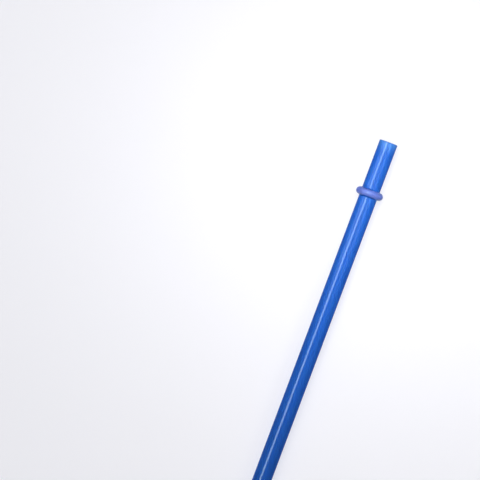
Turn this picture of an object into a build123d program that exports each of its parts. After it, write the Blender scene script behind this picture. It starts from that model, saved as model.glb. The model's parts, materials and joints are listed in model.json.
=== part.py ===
"""Reusable drinking straw: one rigid extruded tube whose own wall is folded out into a stop ring.

The straw lies as it comes to rest: the stop ring and the edge of the foot end touch the table,
so its axis climbs a little from the foot end to the mouth end. X runs from foot to mouth, Z is up,
and the origin is on the table, under the middle of the straw.
"""

import os
from math import asin, atan2, cos, hypot, sin, sqrt

from build123d import *

# Driving dimensions, in millimetres

# Tube
straw_length = 230.0
tube_diameter = 8.0
wall = 1.0
mouth_edge_radius = 0.3  # both edges of the end that goes to the lips
foot_edge_radius = 0.2  # both edges of the end that stands in the drink
edge_limit_share = 0.45  # largest edge radius, as a share of the wall

# Stop ring, where the wall is folded outwards at its even thickness
ring_to_mouth = 23.3  # from the mouth end to the middle of the ring
ring_height = 2.0  # how far the ring stands out of the tube
ring_root_radius = 0.5  # outside hollow between the tube and each side of the ring
fold_gap = 1.4  # groove that the fold leaves open inside

# Tube and ring, measured from the axis and from the foot end
tube_radius = tube_diameter / 2
bore_radius = tube_radius - wall
ring_radius = tube_radius + ring_height
ring_station = straw_length - ring_to_mouth
mouth_edge = min(mouth_edge_radius, wall * edge_limit_share)
foot_edge = min(foot_edge_radius, wall * edge_limit_share)

# The nose of the fold is a half round about one centre, outside and inside
groove_radius = fold_gap / 2
nose_radius = groove_radius + wall
nose_centre = ring_radius - nose_radius

# Each root turns about a centre that follows from touching both the tube and the nose
root_rise = tube_radius + ring_root_radius - nose_centre
root_run = sqrt((nose_radius + ring_root_radius) ** 2 - root_rise**2)
outer_share = nose_radius / (nose_radius + ring_root_radius)
inner_share = groove_radius / (nose_radius + ring_root_radius)

# Lying at rest, the nose of the ring and the rounded foot edge are equally low
contact_run = ring_station - foot_edge
contact_rise = nose_centre - (tube_radius - foot_edge)
contact_step = nose_radius - foot_edge
rest_tilt = atan2(contact_rise, contact_run) + asin(contact_step / hypot(contact_run, contact_rise))
foot_height = nose_centre * cos(rest_tilt) + nose_radius - ring_station * sin(rest_tilt)

# Upright plane through the axis of the lying straw: its x runs from foot to mouth
rest_plane = Plane(
    origin=(-straw_length / 2 * cos(rest_tilt), 0, foot_height),
    x_dir=(cos(rest_tilt), 0, sin(rest_tilt)),
    z_dir=(0, -1, 0),
)
straw_axis = Axis(rest_plane.origin, rest_plane.x_dir)


def fold(tube_line, share):
    """Draw one face of the folded wall, foot to mouth: root, nose and root, each tangent to the next.

    The roots leave the tube's straight line at this distance from the axis. The share says how far
    along the line from nose centre to root centre the arcs meet.
    """
    joint_line = nose_centre + root_rise * share
    root = TangentArc(
        (ring_station - root_run, tube_line),
        (ring_station - root_run * share, joint_line),
        tangent=(1, 0),
    )
    nose = TangentArc(root @ 1, (ring_station + root_run * share, joint_line), tangent=root % 1)
    TangentArc(nose @ 1, (ring_station + root_run, tube_line), tangent=nose % 1)


# Straw: one half of its lengthwise section, with the foot end at 0, turned about the axis
with BuildPart() as drinking_straw:
    with BuildSketch(rest_plane) as section:
        with BuildLine():
            fold(tube_radius, outer_share)
            Polyline(
                (ring_station + root_run, tube_radius),
                (straw_length, tube_radius),
                (straw_length, bore_radius),
                (ring_station + root_run, bore_radius),
            )
            fold(bore_radius, inner_share)
            Polyline(
                (ring_station - root_run, bore_radius),
                (0, bore_radius),
                (0, tube_radius),
                (ring_station - root_run, tube_radius),
            )
        make_face()
        ends = section.vertices().group_by(Axis.X)
        fillet(ends[0], foot_edge)
        fillet(ends[-1], mouth_edge)
    revolve(axis=straw_axis)
drinking_straw.part.label = "drinking_straw"

os.makedirs("parts", exist_ok=True)
export_step(drinking_straw.part, "parts/drinking_straw.step")
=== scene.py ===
"""Blue plastic drinking straw with a stop ring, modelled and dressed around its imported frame.

Laid out as an add-on and run as a script. Everything is in metres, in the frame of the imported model:
the straw lies along X with its mouth end towards +X, and the floor is at Z = 0.
"""

import json
import math
from collections import namedtuple

import bpy
from bpy.props import FloatProperty, FloatVectorProperty, IntProperty, PointerProperty
from mathutils import Matrix, Vector


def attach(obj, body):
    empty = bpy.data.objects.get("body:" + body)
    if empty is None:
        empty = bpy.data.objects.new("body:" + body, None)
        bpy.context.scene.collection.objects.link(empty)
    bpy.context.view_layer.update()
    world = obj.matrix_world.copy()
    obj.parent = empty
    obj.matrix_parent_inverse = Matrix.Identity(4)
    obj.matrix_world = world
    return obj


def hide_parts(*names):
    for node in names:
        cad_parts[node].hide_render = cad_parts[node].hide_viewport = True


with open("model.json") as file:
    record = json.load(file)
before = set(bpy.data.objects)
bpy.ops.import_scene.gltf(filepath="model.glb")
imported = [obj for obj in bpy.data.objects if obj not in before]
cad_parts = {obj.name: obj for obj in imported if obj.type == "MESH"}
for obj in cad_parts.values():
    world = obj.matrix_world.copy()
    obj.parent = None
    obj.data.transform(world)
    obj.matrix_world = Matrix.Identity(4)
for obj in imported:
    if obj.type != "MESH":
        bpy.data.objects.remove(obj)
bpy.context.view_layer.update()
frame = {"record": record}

bl_info = {
    "name": "Drinking straw with stop ring",
    "version": (1, 0, 0),
    "blender": (4, 5, 0),
    "location": "View3D > Sidebar > Straw",
    "description": "Models one extruded plastic drinking straw, its finish and its studio stage",
    "category": "Add Mesh",
}

MM = 0.001
QUARTER_TURN = math.pi / 2
FULL_TURN = 2 * math.pi
CAD_NODE = "drinking_straw"

# The frame of the photograph, in its own pixels: the straw's mouth end and the width of its tube
PHOTO_SIDE = 480
MOUTH_PIXEL = (388.75, 142.4)
TUBE_PIXELS = 18.75

# Sockets of a Mix node: two numbers and their mix, two colours and their mix
NUMBER_A, NUMBER_B, NUMBER_MIX = 2, 3, 0
COLOUR_A, COLOUR_B, COLOUR_MIX = 6, 7, 2

# Lamps in millimetres and watts. Each faces a place along X on the floor. Those placed below the floor
# stand for the light that a floor throws back: foot_bounce and mouth_bounce reach 18 mm through it.
# A lamp that isn't glossy doesn't show in the plastic's gloss
Lamp = namedtuple("Lamp", "name place facing_x size power glossy")
LAMPS = (
    Lamp("key_softbox", (130, 330, 870), 60, (700, 300), 3.6, True),
    Lamp("left_softbox", (145, 325, 270), 105, (200, 200), 0.18, True),
    Lamp("right_softbox", (145, -200, 380), 105, (200, 150), 0.08, True),
    Lamp("mouth_fill", (104, 15, 120), 104, (80, 80), 0.165, False),
    Lamp("mouth_side_fill", (104, -120, 160), 104, (80, 80), 0.165, False),
    Lamp("ring_softbox", (220, 40, 300), 92, (120, 120), 0.15, True),
    Lamp("foot_bounce", (-400, 0, -120), -115, (400, 300), 0.3, False),
    Lamp("mouth_bounce", (400, 0, -120), 115, (400, 300), 0.3, False),
    Lamp("floor_bounce", (0, 0, -200), 0, (900, 200), 0.45, True),
    Lamp("left_bounce", (0, 200, -240), 0, (600, 150), 1.6, False),
    Lamp("right_bounce", (0, -200, -240), 0, (600, 150), 1.6, False),
)


def linear(hex_colour):
    """Turn an sRGB hex colour into the linear RGBA that sockets and colour properties take."""
    shares = [int(hex_colour[place:place + 2], 16) / 255 for place in (1, 3, 5)]
    return [s / 12.92 if s <= 0.04045 else ((s + 0.055) / 1.055) ** 2.4 for s in shares] + [1.0]


def add_node(tree, kind, sockets=None, **settings):
    """Add one node with its settings. A socket is given a value, or the output that is linked to it."""
    node = tree.nodes.new(kind)
    for name, value in settings.items():
        setattr(node, name, value)
    for name, value in (sockets or {}).items():
        if isinstance(value, bpy.types.NodeSocket):
            tree.links.new(value, node.inputs[name])
        else:
            node.inputs[name].default_value = value
    return node


class StrawSizes(bpy.types.PropertyGroup):
    """Sizes of the straw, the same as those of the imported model, and of its faces"""

    straw_length: FloatProperty(
        name="Length", description="Foot end to mouth end",
        default=230 * MM, unit="LENGTH",
    )
    tube_diameter: FloatProperty(
        name="Tube diameter", description="Outside of the tube",
        default=8 * MM, unit="LENGTH",
    )
    wall: FloatProperty(
        name="Wall", description="Thickness of the plastic, even in the fold",
        default=1 * MM, unit="LENGTH",
    )
    mouth_edge: FloatProperty(
        name="Mouth edge", description="Radius of both edges of the mouth end",
        default=0.3 * MM, unit="LENGTH",
    )
    foot_edge: FloatProperty(
        name="Foot edge", description="Radius of both edges of the foot end",
        default=0.2 * MM, unit="LENGTH",
    )
    ring_to_mouth: FloatProperty(
        name="Ring to mouth", description="Middle of the ring to the mouth end",
        default=23.3 * MM, unit="LENGTH",
    )
    ring_height: FloatProperty(
        name="Ring height", description="How far the ring stands out of the tube",
        default=2 * MM, unit="LENGTH",
    )
    ring_root: FloatProperty(
        name="Ring root", description="Radius of the hollow beside the ring",
        default=0.5 * MM, unit="LENGTH",
    )
    fold_gap: FloatProperty(
        name="Fold gap", description="Groove that the fold leaves inside",
        default=1.4 * MM, unit="LENGTH",
    )
    run_step: FloatProperty(
        name="Run step", description="Length of one face along the tube",
        default=4 * MM, unit="LENGTH",
    )
    arc_step: FloatProperty(
        name="Arc step", description="Turn of one face in the section",
        default=math.radians(8), subtype="ANGLE",
    )
    facets: IntProperty(name="Facets", description="Faces round the tube", default=128, min=24)
    weld: FloatProperty(
        name="Weld", description="Points of the straw that are closer than this become one",
        default=0.002 * MM, unit="LENGTH",
    )


class StrawColours(bpy.types.PropertyGroup):
    """Colours of the plastic and of the stage"""

    body: FloatVectorProperty(
        name="Body", description="Pigmented plastic of the tube",
        default=linear("#1e55ad"), size=4, subtype="COLOR",
    )
    body_streak: FloatVectorProperty(
        name="Streak", description="Thinner pigment in lengthwise streaks",
        default=linear("#225ab4"), size=4, subtype="COLOR",
    )
    fold: FloatVectorProperty(
        name="Fold", description="Plastic paled by heating and folding",
        default=linear("#586ab2"), size=4, subtype="COLOR",
    )
    # Painted light: a paler blue over the last 5 mm at both open ends, standing in for light that comes
    # through from the bore
    painted_tip_light: FloatVectorProperty(
        name="Tip", description="Plastic beside the open ends, where light comes through from the bore",
        default=linear("#3f75bd"), size=4, subtype="COLOR",
    )
    cut: FloatVectorProperty(
        name="Cut", description="Sawn face at both ends",
        default=linear("#345fa3"), size=4, subtype="COLOR",
    )
    gloss: FloatVectorProperty(
        name="Gloss", description="Tint of what the plastic reflects",
        default=linear("#e2ffff"), size=4, subtype="COLOR",
    )
    floor: FloatVectorProperty(
        name="Floor", description="Paper of the studio sweep",
        default=linear("#8c8c90"), size=4, subtype="COLOR",
    )
    glow: FloatVectorProperty(
        name="Glow", description="Light that comes through the paper",
        default=linear("#fafaff"), size=4, subtype="COLOR",
    )
    surround: FloatVectorProperty(
        name="Surround", description="Weak light from all round",
        default=linear("#f2f2fa"), size=4, subtype="COLOR",
    )


class StageSettings(bpy.types.PropertyGroup):
    """Camera, floor and the light that comes from no lamp"""

    lean: FloatProperty(
        name="Lean", description="Lean of the straw in the picture",
        default=math.radians(20.6), subtype="ANGLE",
    )
    lens: FloatProperty(
        name="Lens", description="Focal length of the camera in mm",
        default=250, unit="CAMERA",
    )
    floor_radius: FloatProperty(
        name="Floor radius", description="Level part of the sweep",
        default=2.5, unit="LENGTH",
    )
    cove_radius: FloatProperty(
        name="Cove radius", description="Bend from the floor to the backdrop",
        default=0.8, unit="LENGTH",
    )
    backdrop_height: FloatProperty(
        name="Backdrop height", description="Upright part of the sweep",
        default=2, unit="LENGTH",
    )
    weld: FloatProperty(
        name="Weld", description="Points of the sweep that are closer than this become one",
        default=0.1 * MM, unit="LENGTH",
    )
    glow: FloatProperty(
        name="Glow", description="Strength of the light through the paper", default=0.655
    )
    surround: FloatProperty(
        name="Surround", description="Strength of the light from all round", default=0.06
    )


def bore_line():
    """Middle and direction of the bore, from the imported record."""
    bore = next(mount for mount in frame["record"]["mounts"] if mount["name"] == "drink_bore")
    return Vector(bore["pos_m"]), Vector(bore["axis"]).normalized()


def foot_point(sizes):
    """Middle of the foot end: the bore's straight run stops short of both ends by their edge radius."""
    middle, along = bore_line()
    return middle - along * (sizes.straw_length + sizes.foot_edge - sizes.mouth_edge) / 2


class SectionPen:
    """Draws the outline of a new mesh in edit mode from one vertex, by runs and tangent arcs."""

    def __init__(self, place, ahead, normal, run_step, arc_step):
        self.place = place
        self.ahead = ahead
        self.normal = normal
        self.run_step = run_step
        self.arc_step = arc_step
        bpy.ops.object.select_all(action="DESELECT")
        bpy.ops.mesh.primitive_plane_add(size=run_step, location=place)
        bpy.ops.object.mode_set(mode="EDIT")
        bpy.ops.mesh.merge(type="CENTER")

    def run(self, length):
        """Extrude straight ahead in even steps."""
        count = max(1, round(length / self.run_step))
        step = self.ahead * length / count
        for _ in range(count):
            bpy.ops.mesh.extrude_region_move(TRANSFORM_OT_translate={"value": step})
        self.place = self.place + self.ahead * length

    def arc(self, radius, turn):
        """Spin about a centre beside the pen: to its left for a turn above zero, else to its right."""
        centre = self.place + self.normal.cross(self.ahead) * math.copysign(radius, turn)
        count = max(2, round(abs(turn) / self.arc_step))
        bpy.ops.mesh.spin(steps=count, angle=-turn, center=centre, axis=self.normal)
        rotation = Matrix.Rotation(turn, 3, self.normal)
        self.place = centre + rotation @ (self.place - centre)
        self.ahead = rotation @ self.ahead

    def revolve(self, name, facets, centre, axis, weld, inside):
        """Turn the outline once about an axis, weld it, point its faces in or out and leave edit mode."""
        bpy.ops.mesh.select_all(action="SELECT")
        bpy.ops.mesh.remove_doubles(threshold=weld)
        bpy.ops.mesh.select_all(action="SELECT")
        bpy.ops.mesh.spin(steps=facets, angle=FULL_TURN, center=centre, axis=axis)
        bpy.ops.mesh.select_all(action="SELECT")
        bpy.ops.mesh.remove_doubles(threshold=weld)
        bpy.ops.mesh.normals_make_consistent(inside=inside)
        bpy.ops.object.mode_set(mode="OBJECT")
        bpy.ops.object.transform_apply(location=True, rotation=True, scale=True)
        bpy.ops.object.shade_smooth()
        piece = bpy.context.object
        piece.name = name
        return piece


def draw_wall(pen, sizes):
    """Draw the section of the wall from where the foot's outer edge meets the tube, all the way round."""
    # The fold: a round nose between two hollow roots, each tangent to the next
    groove_radius = sizes.fold_gap / 2
    nose_radius = groove_radius + sizes.wall
    inner_root = sizes.ring_root + sizes.wall
    root_rise = sizes.ring_root + nose_radius - sizes.ring_height
    root_run = math.sqrt((nose_radius + sizes.ring_root) ** 2 - root_rise ** 2)
    root_turn = math.atan2(root_run, root_rise)
    foot_run = sizes.straw_length - sizes.ring_to_mouth - root_run - sizes.foot_edge
    mouth_run = sizes.ring_to_mouth - root_run - sizes.mouth_edge

    # Outside, from foot to mouth
    pen.run(foot_run)
    pen.arc(sizes.ring_root, root_turn)
    pen.arc(nose_radius, -2 * root_turn)
    pen.arc(sizes.ring_root, root_turn)
    pen.run(mouth_run)

    # Mouth end
    pen.arc(sizes.mouth_edge, -QUARTER_TURN)
    pen.run(sizes.wall - 2 * sizes.mouth_edge)
    pen.arc(sizes.mouth_edge, -QUARTER_TURN)

    # Bore, from mouth to foot
    pen.run(mouth_run)
    pen.arc(inner_root, -root_turn)
    pen.arc(groove_radius, 2 * root_turn)
    pen.arc(inner_root, -root_turn)
    pen.run(foot_run)

    # Foot end
    pen.arc(sizes.foot_edge, -QUARTER_TURN)
    pen.run(sizes.wall - 2 * sizes.foot_edge)
    pen.arc(sizes.foot_edge, -QUARTER_TURN)


def straw_coordinates(tree, sizes):
    """Add nodes for a place on the straw, X from the foot end, and for its distance from the axis."""
    along = bore_line()[1]
    climb = math.atan2(along.z, along.x)
    place = add_node(tree, "ShaderNodeTexCoord")
    straight = add_node(
        tree, "ShaderNodeMapping",
        {"Vector": place.outputs["Object"], "Location": foot_point(sizes), "Rotation": (0, -climb, 0)},
        vector_type="TEXTURE",
    )
    across = add_node(
        tree, "ShaderNodeVectorMath", {0: straight.outputs["Vector"], 1: (0, 1, 1)}, operation="MULTIPLY"
    )
    radius = add_node(tree, "ShaderNodeVectorMath", {0: across.outputs["Vector"]}, operation="LENGTH")
    return straight.outputs["Vector"], radius.outputs["Value"]


def fold_mask(tree, sizes, radius):
    """Add a mask of the folded wall, which grows with the distance from the axis."""
    tube_radius = sizes.tube_diameter / 2
    start_share = 0.15
    full_share = 0.9
    return add_node(
        tree, "ShaderNodeMapRange",
        {
            "Value": radius,
            "From Min": tube_radius + sizes.ring_height * start_share,
            "From Max": tube_radius + sizes.ring_height * full_share,
        },
        interpolation_type="SMOOTHSTEP",
    )


def end_masks(tree, sizes, straight):
    """Add masks of both open ends: the last stretch of the wall, where light from the bore is painted
    into the colour, and the sawn face alone.
    """
    half_length = sizes.straw_length / 2
    tip_reach = 5 * MM
    sawn_start = 0.3 * MM
    sawn_full = 0.1 * MM
    station = add_node(tree, "ShaderNodeSeparateXYZ", {"Vector": straight})
    from_middle = add_node(
        tree, "ShaderNodeMath", {0: station.outputs["X"], 1: half_length}, operation="SUBTRACT"
    )
    distance = add_node(tree, "ShaderNodeMath", {0: from_middle.outputs["Value"]}, operation="ABSOLUTE")
    # Painted light: the last 5 mm of each end, where the colour is painted paler for light from the bore
    painted_tip_light = add_node(
        tree, "ShaderNodeMapRange",
        {
            "Value": distance.outputs["Value"],
            "From Min": half_length - tip_reach,
            "From Max": half_length,
        },
    )
    sawn = add_node(
        tree, "ShaderNodeMapRange",
        {
            "Value": distance.outputs["Value"],
            "From Min": half_length - sawn_start,
            "From Max": half_length - sawn_full,
        },
        interpolation_type="SMOOTHSTEP",
    )
    return painted_tip_light, sawn


def extruded_polypropylene(sizes, colours):
    """Polypropylene, pigmented blue, drawn through a die, folded while warm and sawn to length.

    The eye gets a glossy skin over a waxy body that lets light through, faint lines along the tube where
    the die dragged it, a paler and duller ring where the warm wall was folded, open ends painted paler as
    painted light for the light that comes through from the bore, and matt sawn faces.
    """
    material = bpy.data.materials.new("polypropylene_extruded_blue")
    material.use_nodes = True
    tree = material.node_tree
    tree.nodes.clear()
    straight, radius = straw_coordinates(tree, sizes)
    folded = fold_mask(tree, sizes, radius)
    painted_tip_light, sawn = end_masks(tree, sizes, straight)

    # Die lines are 0.1 to 0.3 mm apart on the real tube, too fine for the view: they are drawn at 0.7 mm,
    # over one pixel, and faint, because the tube looks smooth
    line_spacing = 0.7 * MM
    line_depth = 0.02 * MM
    cloud_width = 5 * MM
    stretch = 60
    stretched = add_node(
        tree, "ShaderNodeMapping", {"Vector": straight, "Scale": (1 / stretch, 1, 1)}
    )
    die_lines = add_node(
        tree, "ShaderNodeTexNoise",
        {
            "Vector": stretched.outputs["Vector"],
            "Scale": 1 / line_spacing,
            "Detail": 3.0,
            "Roughness": 0.6,
        },
    )
    # Pigment drifts in long clouds
    clouds = add_node(
        tree, "ShaderNodeTexNoise",
        {
            "Vector": stretched.outputs["Vector"],
            "Scale": 1 / cloud_width,
            "Detail": 2.0,
            "Roughness": 0.5,
        },
    )

    # Colour: the body with its streaks, then the fold, the painted light at the open ends and the sawn
    # faces over it
    tint = add_node(
        tree, "ShaderNodeMix",
        {0: clouds.outputs["Fac"], COLOUR_A: colours.body, COLOUR_B: colours.body_streak},
        data_type="RGBA",
    )
    # The paler colour at the open ends is painted light, not a colour of the plastic
    for mask, colour in ((folded, colours.fold), (painted_tip_light, colours.painted_tip_light), (sawn, colours.cut)):
        tint = add_node(
            tree, "ShaderNodeMix",
            {0: mask.outputs["Result"], COLOUR_A: tint.outputs[COLOUR_MIX], COLOUR_B: colour},
            data_type="RGBA",
        )

    # Roughness: a glossy tube with faint lines, a duller fold and matt sawn faces
    tube_roughness = (0.12, 0.2)
    fold_roughness = 0.3
    sawn_roughness = 0.6
    lines = add_node(
        tree, "ShaderNodeMapRange",
        {"Value": die_lines.outputs["Fac"], "To Min": tube_roughness[0], "To Max": tube_roughness[1]},
    )
    gloss = lines.outputs["Result"]
    for mask, roughness in ((folded, fold_roughness), (sawn, sawn_roughness)):
        mix = add_node(
            tree, "ShaderNodeMix",
            {0: mask.outputs["Result"], NUMBER_A: gloss, NUMBER_B: roughness},
            data_type="FLOAT",
        )
        gloss = mix.outputs[NUMBER_MIX]
    relief = add_node(
        tree, "ShaderNodeBump",
        {"Height": die_lines.outputs["Fac"], "Strength": 0.15, "Distance": line_depth},
    )

    # Inside the wall blue light goes furthest
    plastic = add_node(
        tree, "ShaderNodeBsdfPrincipled",
        {
            "Base Color": tint.outputs[COLOUR_MIX],
            "Roughness": gloss,
            "Normal": relief.outputs["Normal"],
            "IOR": 1.49,
            "Specular IOR Level": 0.65,
            "Specular Tint": colours.gloss,
            "Subsurface Weight": 0.3,
            "Subsurface Radius": (0.25, 0.55, 1.0),
            "Subsurface Scale": 1.2 * MM,
        },
    )
    add_node(tree, "ShaderNodeOutputMaterial", {"Surface": plastic.outputs["BSDF"]})
    return material


class STRAW_OT_tube(bpy.types.Operator):
    """Model the straw: draw the section of its wall, turn it about the axis and give it its plastic"""

    bl_idname = "straw.tube"
    bl_label = "Straw with stop ring"

    def execute(self, context):
        sizes = context.scene.straw_sizes
        along = bore_line()[1]
        foot = foot_point(sizes)
        outward = Vector((-along.z, 0, along.x))
        start = foot + along * sizes.foot_edge + outward * sizes.tube_diameter / 2
        pen = SectionPen(start, along, along.cross(outward), sizes.run_step, sizes.arc_step)
        draw_wall(pen, sizes)
        if (pen.place - start).length > sizes.weld:
            raise RuntimeError("the section of the wall doesn't close")
        straw = pen.revolve("straw_body", sizes.facets, foot, along, sizes.weld, inside=False)

        # Large faces rule the normals, so reflections on the long tube stay straight up to its edges
        bpy.ops.object.modifier_add(type="WEIGHTED_NORMAL")
        bpy.ops.object.modifier_apply(modifier=straw.modifiers[0].name)

        straw.data.materials.clear()
        straw.data.materials.append(extruded_polypropylene(sizes, context.scene.straw_colours))
        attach(straw, "root")
        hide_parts(CAD_NODE)
        return {"FINISHED"}


def backlit_paper(colours, settings):
    """Matt white paper with light behind it, which gives the eye an even pale ground with no gloss."""
    paper = bpy.data.materials.new("paper_matt_backlit")
    paper.use_nodes = True
    tree = paper.node_tree
    tree.nodes.clear()
    surface = add_node(
        tree, "ShaderNodeBsdfPrincipled",
        {
            "Base Color": colours.floor,
            "Roughness": 0.9,
            "Specular IOR Level": 0.1,
            "Emission Color": colours.glow,
            "Emission Strength": settings.glow,
        },
    )
    add_node(tree, "ShaderNodeOutputMaterial", {"Surface": surface.outputs["BSDF"]})
    return paper


def lay_sweep(scene):
    """Lay a level floor that bends up into a backdrop all round."""
    sizes = scene.straw_sizes
    settings = scene.straw_stage
    middle = Vector((0, 0, 0))
    pen = SectionPen(
        middle, Vector((1, 0, 0)), Vector((0, -1, 0)), settings.cove_radius, sizes.arc_step
    )
    pen.run(settings.floor_radius)
    pen.arc(settings.cove_radius, QUARTER_TURN)
    pen.run(settings.backdrop_height)
    sweep = pen.revolve("studio_sweep", sizes.facets, middle, (0, 0, 1), settings.weld, inside=True)
    sweep.data.materials.append(backlit_paper(scene.straw_colours, settings))
    # The straw isn't lit by the sweep, so that the rounded sides of the tube turn dark
    sweep.visible_diffuse = False
    sweep.visible_glossy = False
    sweep.visible_shadow = False


def light_surround(scene):
    """Give the world a weak light from all round."""
    world = bpy.data.worlds.new("studio_surround")
    world.use_nodes = True
    tree = world.node_tree
    tree.nodes.clear()
    surround = add_node(
        tree, "ShaderNodeBackground",
        {"Color": scene.straw_colours.surround, "Strength": scene.straw_stage.surround},
    )
    add_node(tree, "ShaderNodeOutputWorld", {"Surface": surround.outputs["Background"]})
    scene.world = world


def set_lamps():
    """Add the soft lamps, each turned to the place that it faces."""
    for lamp in LAMPS:
        place = Vector(lamp.place) * MM
        facing = (Vector((lamp.facing_x * MM, 0, 0)) - place).to_track_quat("-Z", "Y")
        bpy.ops.object.light_add(type="AREA", location=place, rotation=facing.to_euler())
        light = bpy.context.object
        light.name = lamp.name
        light.data.shape = "RECTANGLE"
        light.data.size = lamp.size[0] * MM
        light.data.size_y = lamp.size[1] * MM
        light.data.energy = lamp.power
        light.visible_camera = False
        light.visible_glossy = lamp.glossy


def set_camera(scene):
    """Look straight down, with the mouth end and the tube on their pixels of the photograph."""
    sizes = scene.straw_sizes
    settings = scene.straw_stage
    mouth = foot_point(sizes) + bore_line()[1] * sizes.straw_length
    pixel = sizes.tube_diameter / TUBE_PIXELS
    turn = settings.lean - QUARTER_TURN
    right = Vector((math.cos(turn), math.sin(turn), 0))
    up = Vector((-math.sin(turn), math.cos(turn), 0))
    across = (MOUTH_PIXEL[0] - PHOTO_SIDE / 2) * pixel
    above = (PHOTO_SIDE / 2 - MOUTH_PIXEL[1]) * pixel
    bpy.ops.object.camera_add(rotation=(0, 0, turn))
    camera = bpy.context.object
    camera.name = "photo_camera"
    camera.data.lens = settings.lens
    distance = PHOTO_SIDE * pixel * camera.data.lens / camera.data.sensor_width
    camera.location = mouth - right * across - up * above + Vector((0, 0, distance))
    scene.camera = camera
    scene.view_settings.view_transform = "Standard"


class STRAW_OT_stage(bpy.types.Operator):
    """Lay the pale floor and set up the soft studio light and the camera"""

    bl_idname = "straw.stage"
    bl_label = "Floor, light and camera"

    def execute(self, context):
        lay_sweep(context.scene)
        light_surround(context.scene)
        set_lamps()
        set_camera(context.scene)
        return {"FINISHED"}


class STRAW_PT_sidebar(bpy.types.Panel):
    """Sizes, colours and steps of the straw"""

    bl_idname = "STRAW_PT_sidebar"
    bl_label = "Drinking straw"
    bl_space_type = "VIEW_3D"
    bl_region_type = "UI"
    bl_category = "Straw"

    def draw(self, context):
        scene = context.scene
        for group in (scene.straw_sizes, scene.straw_colours, scene.straw_stage):
            box = self.layout.box()
            for name in group.__annotations__:
                box.prop(group, name)
        for step in (STRAW_OT_tube, STRAW_OT_stage):
            self.layout.operator(step.bl_idname)


CLASSES = (StrawSizes, StrawColours, StageSettings, STRAW_OT_tube, STRAW_OT_stage, STRAW_PT_sidebar)


def register():
    for cls in CLASSES:
        bpy.utils.register_class(cls)
    bpy.types.Scene.straw_sizes = PointerProperty(type=StrawSizes)
    bpy.types.Scene.straw_colours = PointerProperty(type=StrawColours)
    bpy.types.Scene.straw_stage = PointerProperty(type=StageSettings)


def unregister():
    del bpy.types.Scene.straw_stage
    del bpy.types.Scene.straw_colours
    del bpy.types.Scene.straw_sizes
    for cls in reversed(CLASSES):
        bpy.utils.unregister_class(cls)


def main():
    """Register the add-on, model the straw and set the stage."""
    register()
    bpy.ops.straw.tube()
    bpy.ops.straw.stage()


if __name__ == "__main__":
    main()
